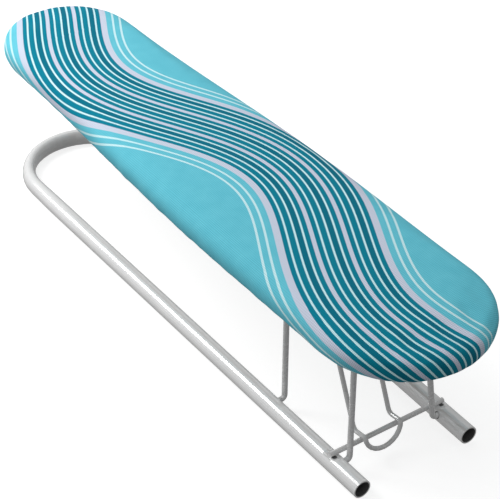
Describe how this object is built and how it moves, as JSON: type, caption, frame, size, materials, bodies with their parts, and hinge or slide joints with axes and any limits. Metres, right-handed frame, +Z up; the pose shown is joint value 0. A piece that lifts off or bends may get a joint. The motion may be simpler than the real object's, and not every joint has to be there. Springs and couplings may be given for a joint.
{
  "type": "tabletop sleeve ironing board",
  "caption": "Narrow padded sleeve board with a fabric cover, carried on folding wire bails over a U-shaped tube base, with a wire lock hooked over a crossbar.",
  "frame": {"origin": "on the table under the middle of the board's length and width", "axes": "+X along the board towards the open ends of the base tube, +Y across the board, to the left when looking along +X, +Z up"},
  "size_m": [0.5104, 0.1208, 0.1214],
  "materials": {
    "tube_paint": "light silver-grey gloss paint on steel tube",
    "wire_paint": "mid-grey satin metallic paint on steel wire",
    "cover_fabric": "woven cotton printed with sweeping teal, turquoise and pale stripes",
    "foam": "soft cream padding",
    "panel": "bare pressed-fibre board",
    "elastic": "braided white elastic cord",
    "zinc_steel": "bright zinc plate"
  },
  "bodies": {
    "base": {"base_tube": "tube_paint", "crossbar": "wire_paint"},
    "front_bail": {"front_bail": "wire_paint"},
    "rear_bail": {"rear_bail": "wire_paint"},
    "board": {"deck": "panel", "foam_pad": "foam", "cover": "cover_fabric", "hem_cord": "elastic", "front_clip_left": "zinc_steel", "front_clip_right": "zinc_steel", "rear_clip_left": "zinc_steel", "rear_clip_right": "zinc_steel", "lock_clip": "zinc_steel", "front_screw_left_fore": "zinc_steel", "front_screw_left_aft": "zinc_steel", "front_screw_right_fore": "zinc_steel", "front_screw_right_aft": "zinc_steel", "rear_screw_left_fore": "zinc_steel", "rear_screw_left_aft": "zinc_steel", "rear_screw_right_fore": "zinc_steel", "rear_screw_right_aft": "zinc_steel", "lock_screw_fore": "zinc_steel", "lock_screw_aft": "zinc_steel"},
    "lock_bail": {"lock_bail": "wire_paint"}
  },
  "joints": [
    {"name": "fold", "type": "hinge", "parent": "base", "child": "front_bail", "pos_m": [0.1962, 0, 0.008], "axis": [0, 1, 0], "range_deg": [0, 84]},
    {"name": "rear_bail_foot", "type": "hinge", "parent": "base", "child": "rear_bail", "pos_m": [0.1262, 0, 0.008], "axis": [0, 1, 0], "range_deg": [0, 84]},
    {"name": "board_on_front_bail", "type": "hinge", "parent": "front_bail", "child": "board", "pos_m": [0.18834, 0, 0.09926], "axis": [0, 1, 0], "range_deg": [-84, 0]},
    {"name": "lock_swing", "type": "hinge", "parent": "board", "child": "lock_bail", "pos_m": [0.149, -0.0068, 0.09966], "axis": [0, 1, 0], "range_deg": [-60, 0]}
  ],
  "couplings": [
    {"joint": "rear_bail_foot", "follows": "fold", "ratio": 1},
    {"joint": "board_on_front_bail", "follows": "fold", "ratio": -1},
    {"joint": "lock_swing", "follows": "fold", "ratio": -0.69}
  ]
}
